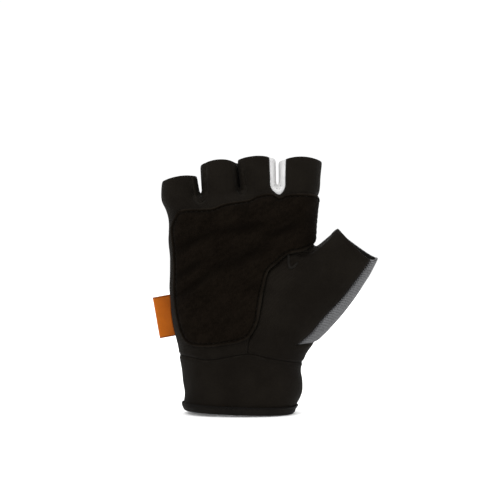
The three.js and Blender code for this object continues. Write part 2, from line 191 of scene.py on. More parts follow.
# Share of the way along a line in X and Z, and distance from it
def besideLine(x, z, x1, z1, x2, z2):
    dx, dz = x2 - x1, z2 - z1
    share = np.clip(((x - x1) * dx + (z - z1) * dz) / (dx * dx + dz * dz), 0, 1)
    return share, np.hypot(x - x1 - share * dx, z - z1 - share * dz)


# Bell-shaped swellings and hollows of the palm, less creases that are bells across a line
def palmRelief(x, z):
    relief = np.zeros_like(x)
    for cx, cz, wide, high, depth in form["swellings"]:
        relief += depth * np.exp(-(((x - cx) / wide) ** 2) - ((z - cz) / high) ** 2)
    for *line, wide, depth in form["creases"]:
        relief -= depth * bell(besideLine(x, z, *line)[1] / wide)
    return relief


# Soft unevenness of worn cloth: a sum of plane waves of 9 to 26 mm in set directions
def ripple(p):
    total = np.zeros(len(p))
    for direction, phase in zip(rippleRuns, ripplePhases):
        total += np.sin(p @ direction + phase)
    calm = np.clip((form["rippleTop"] - p[:, 2]) / 10, 0.25, 1)
    return form["ripple"] * calm * total / np.sqrt(form["ripples"]) * form["ripplePeak"]


rippleRuns = unit(rng.normal(size=(form["ripples"], 3)))
rippleRuns = rippleRuns * (2 * np.pi / rng.uniform(9, 26, form["ripples"]))[:, None]
ripplePhases = rng.uniform(0, 2 * np.pi, form["ripples"])


# X measured across the slit between the ring and middle sleeves, which bends where the two press together
def bentAcross(p):
    near = bell((p[:, 0] - form["slitMiddle"]) / form["slitWide"])
    return p[:, 0] - form["slitBend"] * np.tanh(p[:, 1] / form["slitDeep"]) * near


# Distance from the whole gloved form: the hand, domed between the fingers, joined to each sleeve and to
# the thumb. Sleeves are joined to the hand one by one so that they stay apart from each other.
def gloveDistance(p):
    x, y, z = p.T
    sunk = y + palmRelief(x, z) * np.clip(-y / 10, 0, 1)
    start, values = handTable
    tilt = np.interp(z, start + form["tableStep"] * np.arange(len(values)), values[:, 5])
    level = z - tilt * x
    hand = tubeDistance(handTable, x, sunk, level)
    hand = -joined(-hand, -(level - form["domeTop"]), form["domeBlend"])
    whole = np.full_like(x, 1e3)
    bent = bentAcross(p)
    for table in fingerTables.values():
        sleeve = np.maximum(tubeDistance(table, bent, y, z), form["sleeveFoot"] - z)
        whole = np.minimum(whole, joined(hand, sleeve, form["webBlend"]))
    q = p - thumbRim
    along = q @ thumbAxis
    own = tubeDistance(thumbTable, q @ thumbAcross, q @ thumbThrough, along)
    own = -joined(-own, along - thumb["root"], thumb["rootBlend"])
    share = np.clip((form["blendFrom"] - x) / form["blendOver"], 0, 1)
    wide = form["crotchBlend"] + (form["thumbBlend"] - form["crotchBlend"]) * share
    return joined(whole, own, wide) - ripple(p)


# Draws points onto the form's surface along its slope
def onForm(p, turns=5):
    for _ in range(turns):
        p = p - gloveDistance(p)[:, None] * slopeOf(gloveDistance, p)
    return p


# The unit slope of a distance, by differences on both sides of each point
def slopeOf(distance, p, e=0.12):
    return unit(np.stack([distance(p + e * axis) - distance(p - e * axis) for axis in np.eye(3)], axis=1))


# Walks points out from inside the form along their directions until they reach its surface
def cast(start, direction, steps=30):
    p, direction = start, unit(np.array(direction, float))
    for _ in range(steps):
        p = p - np.clip(gloveDistance(p), -3, 3)[:, None] * 0.85 * direction
    return p


# The cells at one corner round each of some lattice edges that run along direction a
def cellsAt(where, a, db, dc):
    place = where.copy()
    place[:, (a + 1) % 3] -= db
    place[:, (a + 2) % 3] -= dc
    return place


# The skin of the form on a lattice of cells: one vertex in each cell that the surface crosses, at the mean of
# the crossings of its edges, and a quad across each lattice edge that changes side. The sleeves and the thumb
# branch off the hand, which no single grid of two parameters can follow.
def makeSkin(axes):
    count = np.array([len(axis) for axis in axes])
    lattice = np.stack(np.meshgrid(*axes, indexing="ij"), axis=-1).reshape(-1, 3)
    value = np.concatenate([gloveDistance(part) for part in np.array_split(lattice, 40)]).reshape(count)
    inside = value < 0
    total = np.zeros((*(count - 1), 3))
    hits = np.zeros(count - 1)
    crossings = []
    for a in range(3):
        lower = np.take(value, range(count[a] - 1), axis=a)
        upper = np.take(value, range(1, count[a]), axis=a)
        crossed = (lower < 0) != (upper < 0)
        where = np.argwhere(crossed)
        share = (lower / np.where(crossed, lower - upper, 1))[crossed]
        at = np.stack([axes[i][where[:, i]] for i in range(3)], axis=1)
        at[:, a] += np.diff(axes[a])[where[:, a]] * share
        crossings.append((a, where, inside[tuple(where.T)]))
        for corner in ((0, 0), (0, 1), (1, 0), (1, 1)):
            place = cellsAt(where, a, *corner)
            fits = (place >= 0).all(axis=1) & (place < count - 1).all(axis=1)
            np.add.at(total, tuple(place[fits].T), at[fits])
            np.add.at(hits, tuple(place[fits].T), 1)
    used = hits > 0
    number = np.full(count - 1, -1)
    number[used] = np.arange(used.sum())
    points = total[used] / hits[used][:, None]
    faces = []
    for a, where, starts in crossings:
        b, c = (a + 1) % 3, (a + 2) % 3
        within = ((where[:, [b, c]] > 0) & (where[:, [b, c]] < count[[b, c]] - 1)).all(axis=1)
        where, starts = where[within], starts[within]
        corners = ((0, 0), (1, 0), (1, 1), (0, 1))
        quad = np.stack([number[tuple(cellsAt(where, a, *corner).T)] for corner in corners], axis=1)
        quad[~starts] = quad[~starts][:, ::-1]
        faces.append(quad)
    quads = np.concatenate(faces)
    return onForm(points), np.concatenate([quads[:, [0, 1, 2]], quads[:, [0, 2, 3]]])


# Signed distance in X and Z to a closed outline: negative inside, where the crossing count is odd
def outlineDistance(outline):
    a = np.asarray(outline, float)
    b = np.roll(a, -1, axis=0)
    run = b - a
    length = np.maximum((run**2).sum(axis=1), 1e-9)

    def distance(p):
        result = []
        for part in np.array_split(p[:, [0, 2]], max(len(p) // 4000, 1)):
            away = part[:, None] - a[None]
            t = np.clip((away * run).sum(axis=2) / length, 0, 1)
            near = np.sqrt((((away - t[..., None] * run) ** 2).sum(axis=2)).min(axis=1))
            spans = (a[:, 1] > part[:, 1:]) != (b[:, 1] > part[:, 1:])
            rise = np.where(run[:, 1] == 0, 1, run[:, 1])
            right = part[:, :1] < a[:, 0] + run[:, 0] * (part[:, 1:] - a[:, 1]) / rise
            result.append(np.where((spans & right).sum(axis=1) % 2 == 1, -near, near))
        return np.concatenate(result)

    return distance


# Keeps the part of a triangle mesh where a distance is below nothing, and cuts the triangles on its line
def cut(points, faces, distance, snap=0.25):
    value = distance(points)
    near = np.abs(value) < snap
    if near.any():
        q = points[near]
        for _ in range(2):
            q = q - distance(q)[:, None] * slopeOf(distance, q)
            q = onForm(q, turns=1)
        points = points.copy()
        points[near] = q
        value[near] = 0
    out = value > 0
    lost = out[faces].sum(axis=1)
    kept = [faces[lost == 0]]
    start = len(points)
    turned = []
    for many, odd in ((1, True), (2, False)):
        part = faces[lost == many]
        first = np.argmax(out[part] == odd, axis=1)
        turned.append(np.take_along_axis(part, (first[:, None] + np.arange(3)) % 3, axis=1))
    ends = np.concatenate([t[:, pair] for t in turned for pair in ([0, 1], [0, 2])])
    key, index = np.unique(np.sort(ends, axis=1), axis=0, return_inverse=True)
    index = index.reshape(-1) + start
    va, vb = value[key[:, 0]], value[key[:, 1]]
    share = (va / np.where(va == vb, 1, va - vb))[:, None]
    fresh = points[key[:, 0]] * (1 - share) + points[key[:, 1]] * share
    one, two = turned
    a, b = index[: len(one)], index[len(one) : 2 * len(one)]
    kept += [np.stack([a, one[:, 1], one[:, 2]], axis=1), np.stack([a, one[:, 2], b], axis=1)]
    rest = index[2 * len(one) :]
    kept.append(np.stack([two[:, 0], rest[: len(two)], rest[len(two) :]], axis=1))
    return welded(np.concatenate([points, fresh]), np.concatenate(kept))


# Joins vertices at one place and drops faces without area and vertices without a face
def welded(points, faces):
    key = np.round(points / 0.002).astype(np.int64)
    _, first, index = np.unique(key, axis=0, return_index=True, return_inverse=True)
    faces = index.reshape(-1)[faces]
    whole = (faces[:, 0] != faces[:, 1]) & (faces[:, 1] != faces[:, 2]) & (faces[:, 2] != faces[:, 0])
    faces = faces[whole]
    used, faces = np.unique(faces, return_inverse=True)
    return points[first][used], faces.reshape(-1, 3)


# Directed edges that only one triangle has
def borderOf(faces):
    ends = np.concatenate([faces[:, [0, 1]], faces[:, [1, 2]], faces[:, [2, 0]]])
    size = faces.max() + 1
    forward, backward = ends[:, 0] * size + ends[:, 1], ends[:, 1] * size + ends[:, 0]
    return ends[~np.isin(forward, backward)]


# Gives a surface its wall: the inner side lies a wall's thickness below it, and rings along its border,
# half a circle in section, join the two sides
def walled(points, normals, faces, wall, bulge, rings=4):
    border = borderOf(faces)
    outward = np.zeros_like(points)
    edge = np.cross(unit(points[border[:, 1]] - points[border[:, 0]]), normals[border[:, 0]])
    np.add.at(outward, border[:, 0], edge)
    np.add.at(outward, border[:, 1], edge)
    outward = unit(outward)
    onBorder = np.unique(border)
    place = np.full(len(points), -1)
    place[onBorder] = np.arange(len(onBorder))
    layers, index = [points, points - normals * wall], [faces, faces[:, ::-1] + len(points)]
    ringOf = [onBorder]
    for k in range(1, rings):
        turn = np.pi * k / rings
        out = outward[onBorder] * bulge[onBorder, None] * np.sin(turn)
        layers.append(points[onBorder] - normals[onBorder] * wall / 2 * (1 - np.cos(turn)) + out)
        ringOf.append(2 * len(points) + (k - 1) * len(onBorder) + np.arange(len(onBorder)))
    ringOf.append(onBorder + len(points))
    a, b = place[border[:, 0]], place[border[:, 1]]
    for upper, lower in zip(ringOf[:-1], ringOf[1:]):
        index.append(np.stack([upper[b], upper[a], lower[a]], axis=1))
        index.append(np.stack([upper[b], lower[a], lower[b]], axis=1))
    return np.concatenate(layers), np.concatenate(index), ringOf


def makeMesh(name, points, faces, finishes, **attributes):
    mesh = bpy.data.meshes.new(name)
    mesh.from_pydata(points * mm, [], faces if isinstance(faces, list) else faces.tolist())
    for key, values in attributes.items():
        kind, field = ("FLOAT", "value") if values.ndim == 1 else ("FLOAT_VECTOR", "vector")
        mesh.attributes.new(key, kind, "POINT").data.foreach_set(field, values.astype(np.float32).ravel())
    mesh.polygons.foreach_set("use_smooth", [True] * len(mesh.polygons))
    mesh.update()
    piece = bpy.data.objects.new(name, mesh)
    bpy.context.collection.objects.link(piece)
    for finish in finishes:
        mesh.materials.append(finish)
    return piece


# A Catmull-Rom curve through points in X and Z, its knots spaced by the root of their distance
def smoothCurve(points, spans=8, closed=False):
    p = np.asarray(points, float)
    if closed:
        p = np.vstack([p[-1:], p, p[:2]])
    else:
        p = np.vstack([2 * p[:1] - p[1:2], p, 2 * p[-1:] - p[-2:-1]])
    t = np.linspace(0, 1, spans, endpoint=False)[:, None]
    out = []
    for i in range(1, len(p) - 2):
        s = np.diff(p[i - 1 : i + 3], axis=0)
        d = np.linalg.norm(s, axis=1) ** 0.5
        slopes = [(s[j] / d[j] - (s[j] + s[j + 1]) / (d[j] + d[j + 1]) + s[j + 1] / d[j + 1]) * d[1] for j in (0, 1)]
        out.append(cubic(t, p[i], p[i + 1], *slopes))
    return np.concatenate(out if closed else [*out, p[-2:-1]])


# Seams in X and Z, as on the CAD part; of a notch its bottom, middle, sides low down and sides high up
wristSeam = smoothCurve([(-40, 30), (-30, 30), (-18, 28.4), (-6, 30.4), (4.3, 31.7), (14, 29.4), (31, 26.4),
                         (44, 26)])
thumbSeam = smoothCurve([(46, 93.5), (40.6, 88.6), (36, 85.4), (30, 84.8), (24, 83.5), (18.6, 79), (14, 75),
                         (11.4, 66), (9.6, 56), (7.4, 47), (4.6, 41), (3.4, 36), (3, 24)])
thumbBackSeam = smoothCurve([(46, 93.5), (40.6, 88.6), (34, 84), (27, 74), (23.5, 60), (22.5, 48), (23.5, 36.3)])
thumbSideSeam = smoothCurve([(75, 90.2), (67.6, 79.8), (59.5, 68.8), (51.6, 59.2), (42.9, 50), (36.8, 42.2),
                             (33.3, 39.1), (29.4, 36.1)])
thumbCorner = (46, 36.9)
notches = {"gusset_ring_little": (111.6, -22, -25.7, -19, -28.4, -19.6),
           "gusset_middle_ring": (116.2, -0.1, -2.4, 2.1, -4.6, 0.0),
           "gusset_index_middle": (116.2, 19.9, 15.6, 22.6, 15.1, 22.9)}


# A notch is a rounded U, its sides straight from its shoulders to above the rims
def notchOutline(bottom, middle, leftLow, rightLow, leftHigh, rightHigh, top=142.0, rim=134.0):
    shoulder = bottom + 4.5
    reach = (top - shoulder) / (rim - shoulder)
    bend = [(leftLow, shoulder), (leftLow * 0.7 + middle * 0.3, shoulder - 2.4), (middle, bottom),
            (rightLow * 0.75 + middle * 0.25, shoulder - 2.4), (rightLow, shoulder)]
    return np.vstack([(leftLow + (leftHigh - leftLow) * reach, top), smoothCurve(bend),
                      (rightLow + (rightHigh - rightLow) * reach, top)])


def seamPlane(p):
    return p[:, 1] - form["sideSeam"] - form["thumbSeamSlope"] * (p[:, 0] - form["thumbSeamStart"])


def boxDistance(p, x0, x1, z0, z1):
    return np.maximum(np.maximum(x0 - p[:, 0], p[:, 0] - x1), np.maximum(z0 - p[:, 2], p[:, 2] - z1))


wristRegion = outlineDistance(np.vstack([[(-60, -20), (60, -20), (60, 26)], wristSeam[::-1], [(-60, 30)]]))
notchRegions = {name: outlineDistance(notchOutline(*facts)) for name, facts in notches.items()}
stripRegion = outlineDistance(np.vstack([thumbSideSeam, [thumbCorner, (95, 36.9), (95, 87)]]))
thumbBackOutline = outlineDistance(np.vstack([thumbBackSeam, [thumbCorner, (95, 36.9), (95, 120), (60, 120)]]))
thumbFrontOutline = outlineDistance(np.vstack([thumbSeam, [(60, 20), (95, 60), (95, 120), (60, 120)]]))
regions = {
    "wrist_band": wristRegion,
    **notchRegions,
    "thumb_back": lambda p: np.minimum(stripRegion(p), np.maximum(thumbBackOutline(p), -seamPlane(p))),
    "thumb_front": lambda p: np.maximum(thumbFrontOutline(p), seamPlane(p)),
    "back_panel": lambda p: np.minimum(form["sideSeam"] - p[:, 1], boxDistance(p, *form["backCorner"])),
    "palm_panel": lambda p: np.full(len(p), -99.0),
}  # each piece is what its region takes of what the ones before it leave


# The hem, and where a place counts to the thumb's opening or to a sleeve's
hem = {"lift": 0.5, "tilt": -0.03}
opening = {"thumbFrom": 43.5, "crotchFrom": 40, "crotchTop": 104, "reach": 3.5, "sleevesFrom": 106}


# Height of the hem: it rises a little towards the little finger's side
def hemHeight(x):
    return hem["lift"] + hem["tilt"] * x


# How far a place lies outside the openings: above a sleeve's arched rim, past the thumb's, or under the hem
def openingDistance(p):
    x, y, z = p.T
    q = p - thumbRim
    own, along = q @ thumbAcross, q @ thumbAxis
    deep = q @ thumbThrough / thumb["deep"]
    edge = (np.clip(-deep, 0, 1) * (thumb["frontDip"] + thumb["frontSkew"] * own)
            + np.clip(deep, 0, 1) * thumb["backDip"])
    ofThumb = (x > opening["thumbFrom"]) | (x > opening["crotchFrom"]) & (z < opening["crotchTop"])
    beyond = np.where(ofThumb, along - edge, -99)
    bent = bentAcross(p)
    ends = {name: ((rows[-1][1] + rows[-1][2]) / 2, (rows[-1][2] - rows[-1][1]) / 2)
            for name, rows in fingerRows.items()}
    away = {name: np.abs(bent - middle) - half for name, (middle, half) in ends.items()}
    nearest = np.min(list(away.values()), axis=0)
    for name, (height, tilt, arch) in rims.items():
        middle, half = ends[name]
        share = np.clip((bent - middle) / half, -1, 1)
        mine = (away[name] < opening["reach"]) & (away[name] <= nearest) & (z > opening["sleevesFrom"])
        beyond = np.where(mine, z - (height + tilt * x + arch * (1 - share**2)), beyond)
    return np.maximum(beyond, hemHeight(x) - z)


# How near a place is to the closest line of stitching between two pieces, in millimetres
def seamNearness(p, name):
    order = list(regions)
    lines = [regions[other](p) for other in order[: order.index(name)]] + [-regions[name](p)]
    return np.min(lines, axis=0)


runs = {"heights": (0, 48), "halves": (30.5, 38), "sideFrom": 0.72, "sideOver": 0.27, "depth": 15, "split": -2.2}


# The run of the cloth in millimetres, across and along: X over the two faces of the hand and on round its
# sides by the depth gone down, and for the thumb the turn round its middle at each height
def clothRun(p, name, free):
    x, y, z = p.T
    if name.startswith("thumb"):
        rise = (z - thumbRim[2]) / thumbAxis[2]
        turn = np.arctan2(x - thumbRim[0] - rise * thumbAxis[0], thumbRim[1] + rise * thumbAxis[1] - y)
        turn = np.where(turn < runs["split"], turn + 2 * np.pi, turn)
        along = z if name == "thumb_back" else (p - thumbRim) @ thumbAxis
        return places(turn * thumb["radius"], along, free)
    half = np.interp(z, runs["heights"], runs["halves"])
    side = np.clip((np.abs(x) / half - runs["sideFrom"]) / runs["sideOver"], 0, 1)
    return places(x + np.sign(x) * side * (runs["depth"] - np.abs(y)), z, free)


# Sewn panels
cloth = {"cell": 0.6, "fine": 0.22, "slit": (-4.2, 2.4), "roll": 0.5, "rollWidth": 0.8, "softer": 0.33,
         "softWidth": 2.5, "rimDip": 0.2, "rimWidth": 0.7, "seamBulge": 0.155, "rimBulge": 0.35, "rimReach": 0.4}


# Lattice lines along X, Y and Z: evenly a cell apart, and closer in X where two sleeves nearly touch
def skinAxes():
    cell, (first, last) = cloth["cell"], cloth["slit"]
    x = [np.arange(-46, first, cell), np.arange(first, last, cloth["fine"]), np.arange(last, 80, cell)]
    return np.concatenate(x), np.arange(-22, 22, cell), np.arange(-3, 140, cell)


# One panel: its share of the skin, cut half a seam's gap inside its lines, dipping where it is sewn and
# less so beside the two black notches
def makePanel(name, skin, finish, inner):
    order = list(regions)
    half = form["gap"] / 2
    points, faces = cut(*skin, openingDistance)
    points, faces = cut(points, faces, lambda p: regions[name](p) + half)
    for other in order[: order.index(name)]:
        points, faces = cut(points, faces, lambda p, other=other: half - regions[other](p))
    normals = slopeOf(gloveDistance, points)
    near = np.maximum(seamNearness(points, name) - half, 0)
    free = -openingDistance(points)
    black = np.min([np.abs(notchRegions[notch](points)) for notch in list(notches)[:2]], axis=0)
    roll = cloth["roll"] - cloth["softer"] * bell(black / cloth["softWidth"])
    dip = (roll * bell(near / cloth["rollWidth"])
           + cloth["rimDip"] * bell(free / cloth["rimWidth"]))
    bulge = np.where(free < cloth["rimReach"], cloth["rimBulge"], cloth["seamBulge"])
    outer, index, rings = walled(points - normals * dip[:, None], normals, faces, form["wall"], bulge)
    source = np.concatenate([np.arange(len(points))] * 2 + [rings[0]] * (len(rings) - 2))
    run = clothRun(points, name, free)
    piece = makeMesh("sewn_" + name, outer, index, [finish, inner], seam=near[source], run=run[source])
    side = np.repeat([0, 1, 0], [len(faces), len(faces), len(index) - 2 * len(faces)])
    piece.data.polygons.foreach_set("material_index", side.astype(np.int32))
    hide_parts(name)
    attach(piece, "root")
    print("panel", name, len(index), "triangles")


# A grid of points as quads, closed round its first or second direction where asked
def gridFaces(rows, columns, closeRows=False, closeColumns=False):
    i = np.arange(rows if closeRows else rows - 1)[:, None]
    j = np.arange(columns if closeColumns else columns - 1)[None]
    beside, above = (j + 1) % columns, (i + 1) % rows * columns
    return np.stack([i * columns + j, i * columns + beside, above + beside, above + j], axis=-1).reshape(-1, 4)


# Points of tubes round their middle lines: circles of the given radii in the plane of two directions
def tubePoints(middle, across, normal, radius, sides):
    turn = circle(sides)
    return (middle[..., None, :] + across[..., None, :] * (radius[:, None] * np.cos(turn))[..., None]
            + normal[..., None, :] * (radius[:, None] * np.sin(turn))[..., None]).reshape(-1, 3)


# Faces of a number of such tubes, closed at both ends
def tubeFaces(rings, sides, count=1):
    starts = np.arange(count) * rings * sides
    grid = gridFaces(rings, sides, closeColumns=True)
    faces = (grid[None] + starts[:, None, None]).reshape(-1, 4).tolist()
    for start in starts.tolist():
        faces.append(list(range(start, start + sides))[::-1])
        faces.append(list(range(start + (rings - 1) * sides, start + rings * sides)))
    return faces


def looped(points):
    return np.vstack([points, points[:1]])


# Even spacing along a polyline by its running length
def resample(points, count):
    run = np.concatenate([[0], np.cumsum(np.linalg.norm(np.diff(points, axis=0), axis=1))])
    at = np.linspace(0, run[-1], count)
    return np.stack([np.interp(at, run, c) for c in points.T], axis=1)


def lengthOf(points):
    return np.linalg.norm(np.diff(points, axis=0), axis=1).sum()


# Points of the palm face over places in X and Z; past the turn they fan round the index side to its seam
def onPalm(xz):
    x, z = np.asarray(xz, float).T
    turn, end = form["palmTurn"]
    angle = np.clip((x - turn) / (end - turn), 0, 1) * np.pi / 2
    return cast(places(np.minimum(x, turn), 1, z), places(np.sin(angle), -np.cos(angle), 0))


def straightOut(xz, y, toward=-1):
    return cast(places(xz[:, 0], y, xz[:, 1]), (0, toward, 0))


# Moves points over the form until another distance has the given value there
def walkTo(p, distance, value):
    for _ in range(12):
        p = onForm(p - (distance(p) - value)[:, None] * slopeOf(distance, p) * 0.8, turns=1)
    return p


# A closed ring round the hand: rays turn evenly in plan, and each ray's height follows a function of X
def ringRound(height, count=400):
    angle = circle(count)
    out = places(2.2 * np.sin(angle), -np.cos(angle), 0)
    z = np.full(count, float(height(0.0)))
    for _ in range(4):
        p = cast(places(0, 0, z), out)
        z = height(p[:, 0])
    return looped(p)


# Stitches: short arcs of thread one after another along a path. Along a stitch its thread rises in a half
# sine and sinks at both ends; across, it is round. Slant turns each stitch on the cloth.
def makeStitches(name, path, facts, finish):
    pitch, length, width, rise, slant, lifted = facts
    rings, sides = threads["rings"], threads["sides"]
    count = max(int(lengthOf(path) / pitch), 2)
    centres = resample(path, count)
    along = unit(np.gradient(centres, axis=0))
    normal = slopeOf(gloveDistance, centres)
    across = np.cross(normal, along)
    c, s = np.cos(slant), np.sin(slant)
    along, across = along * c + across * s, across * c - along * s
    t = np.linspace(-1, 1, rings)
    radius = width / 2 * np.sqrt(np.maximum(1 - t**4, 0.02))
    lift = rise * np.cos(t * np.pi / 2) - width * 0.35
    middle = ((centres + normal * lifted)[:, None] + along[:, None] * (t * length / 2)[:, None]
              + normal[:, None] * lift[:, None])
    points = tubePoints(middle, across[:, None], normal[:, None], radius, sides)
    piece = makeMesh(name, points, tubeFaces(rings, sides, count), [finish])
    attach(piece, "root")


# Palm pad: rays from a middle point to the outline, crossed by rings that crowd towards the rolled edge
pad = {"outline": [(-35.2, 104.6), (-34, 106.6), (-31, 107.9), (-22, 108.1), (-15.7, 108.5), (-9.4, 110.8),
                   (-0.5, 112.2), (3.7, 112.9), (8, 115), (13.8, 116.2), (17.2, 115.6), (19.8, 114.2), (22.4, 115.4),
                   (28, 116.3), (36, 116.3), (40, 115), (44, 112), (43.6, 99), (42.4, 93), (39.8, 90.6), (34.4, 87),
                   (30, 85.2), (24, 83.9), (18.7, 79.4), (14.3, 75.3), (11.8, 66), (10, 56), (7.9, 47), (3.3, 39.9),
                   (-1.5, 37.8), (-6.2, 36.8), (-14.1, 35.7), (-20.4, 35.5), (-26.2, 36.1), (-29.9, 38.6),
                   (-32.5, 43.8), (-34.2, 50), (-35.9, 60), (-36.2, 80), (-37, 91), (-37.4, 98)],
       "middle": (-2, 86), "foot": 0.3, "thick": 1.6, "round": 1.2, "groove": 0.65, "grooveAt": 1.8,
       "grooveWide": 0.42, "folds": [(-36, 86, -16, 95, 2.6), (-18, 94, 14, 101, 2.6), (-36, 60, -12, 77.5, 2.8),
                                     (-13, 77, 18, 89.5, 3.2), (-36, 71, -20, 80, 1.8), (10, 92, 36, 103, 2.2)],
       "foldDeep": 0.35, "rays": 600, "rings": 56, "pucker": 0.14, "puckerPitch": 3.1, "puckerWide": 1.3}
padCurve = smoothCurve(pad["outline"], 12, closed=True)
padDistance = outlineDistance(padCurve)


# How deep a place lies in a diagonal fold of the palm: 1 along a fold's line, fading over its width
def foldDepth(p):
    depth = np.zeros(len(p))
    for *line, wide in pad["folds"]:
        share, away = besideLine(p[:, 0], p[:, 2], *line)
        depth = np.maximum(depth, bell(away / wide) * np.sin(np.pi * (0.1 + 0.8 * share)))
    return depth


# The pad's height rises over its rolled edge like a quarter circle, less a sewn groove, less its folds, and
# with a small sine along the edge where the thread gathers it
def makePad(finish):
    rows, columns = pad["rings"], pad["rays"]
    count = rows * columns
    edge = resample(looped(padCurve), columns + 1)[:-1]
    share = 1 - (1 - np.linspace(0.02, 1, rows)) ** 1.7
    middle = np.array(pad["middle"], float)
    xz = (middle + share[:, None, None] * (edge - middle)).reshape(-1, 2)
    foot = onPalm(xz)
    normal = slopeOf(gloveDistance, foot)
    inside = np.maximum(-padDistance(places(xz[:, 0], 0, xz[:, 1])), 0)
    fold = foldDepth(foot)
    roll = np.sqrt(1 - (1 - np.clip(inside / pad["round"], 0, 1)) ** 2)
    away = inside - pad["grooveAt"]
    groove = pad["groove"] * bell(away / pad["grooveWide"])
    run = np.tile(np.arange(columns) * lengthOf(padCurve) / columns, rows)
    pucker = pad["pucker"] * np.sin(2 * np.pi * run / pad["puckerPitch"]) * np.exp(-np.abs(away) / pad["puckerWide"])
    height = pad["foot"] + pad["thick"] * roll - groove - pad["foldDeep"] * fold + pucker * roll
    top = foot + normal * height[:, None]
    sole = foot + normal * pad["foot"] * 0.5
    points = np.concatenate([top, sole, top[:columns].mean(axis=0)[None], sole[:columns].mean(axis=0)[None]])
    upper = gridFaces(rows, columns, closeColumns=True)
    first = np.arange(columns)
    ahead = np.roll(first, -1)
    last, around = first + count - columns, ahead + count - columns
    side = np.stack([last, around, around + count, last + count], axis=1)
    cap = np.stack([np.full(columns, 2 * count), ahead, first], axis=1)
    capBelow = np.stack([np.full(columns, 2 * count + 1), first + count, ahead + count], axis=1)
    faces = [face for part in (upper, upper[:, ::-1] + count, side, cap, capBelow) for face in part.tolist()]
    # The fold attribute carries the fold depth to the suede finish, which paints shade into the folds
    piece = makeMesh("suede_pad", points, faces, [finish], fold=np.concatenate([fold, fold, [0, 0]]),
                     edge=np.concatenate([inside, inside, inside[:1], inside[:1]]))
    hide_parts("palm_pad")
    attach(piece, "root")
    print("pad", len(points), "points")


# Cuff binding: a folded strip, its U section carried round the hem
binding = {"gap": 0.3, "thick": 0.8, "height": 3.4, "around": 420, "stitchAt": 1.2, "groove": 0.2,
           "grooveWide": 0.5, "puff": 0.2, "radius": 25.5}


# The section runs up the outside, over its top edge, down the channel and up again, down the inside and
# round below
def bindingSection():
    def arc(x, z, wide, high, first, last, count):
        turn = np.radians(np.linspace(first, last, count))
        return [*zip(x + wide * np.cos(turn), z + high * np.sin(turn))]

    gap, thick, wall = binding["gap"], binding["thick"], form["wall"]
    out, back, mid = gap + thick, -wall - gap - thick, thick / 2
    top = binding["height"] - mid
    section = [(out, z) for z in np.linspace(0.6, top, 16)] + arc(out - mid, top, mid, mid, 0, 180, 8)[1:]
    section += [(gap, 2.2), (gap, 1.1), (gap, 0), (0, -gap), (-wall, -gap)]
    section += [(-wall - gap, 0), (-wall - gap, 1.1), (-wall - gap, 2.2)] + arc(back + mid, top, mid, mid, 0, 180, 8)
    section += [(back, 2), (back, 1.2), (back, 0.4)]
    section += arc((out + back) / 2, 0.4, (out - back) / 2, 0.4 + gap + thick, 180, 360, 12)[1:-1]
    return np.array(section)


def makeBinding(finish):
    across, up = bindingSection().T
    count = binding["around"]
    angle = circle(count)
    out = places(2 * np.sin(angle), -np.cos(angle), 0)
    level = np.maximum(up, 0)
    rings = {z: cast(places(0, 0, np.full(count, z)), out) for z in np.unique(level)}
    base = np.stack([rings[z] for z in level])
    flat = slopeOf(gloveDistance, base.reshape(-1, 3)).reshape(base.shape)
    flat[..., 2] = 0
    puff = binding["puff"] * np.sin(np.pi * np.clip(up / binding["height"], 0, 1))
    away = binding["height"] - up - binding["stitchAt"]
    groove = binding["groove"] * bell(away / binding["grooveWide"])
    shape = np.where(across > binding["gap"] + 0.05, puff - groove, 0)
    points = base + unit(flat) * (across + shape)[:, None, None]
    points[..., 2] = up[:, None] + hemHeight(base[..., 0])
    run = places(angle * binding["radius"], up[:, None], across[:, None]).reshape(-1, 3)
    faces = gridFaces(len(up), count, closeRows=True, closeColumns=True)[:, ::-1]
    piece = makeMesh("folded_binding", points.reshape(-1, 3), faces, [finish], run=run)
    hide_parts("cuff_binding")
    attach(piece, "root")
    print("binding", len(faces), "quads")


# Side label: a ribbon folded on itself, its two leaves ending on the side seam
label = {"middle": (-40.2, 3, 50.7), "length": 13, "height": 22.5, "leaf": 0.55, "between": 0.5, "turn": -0.18,
         "rows": 44, "leafSteps": 15, "sunk": 0.35, "bow": 0.35, "wave": 0.3}


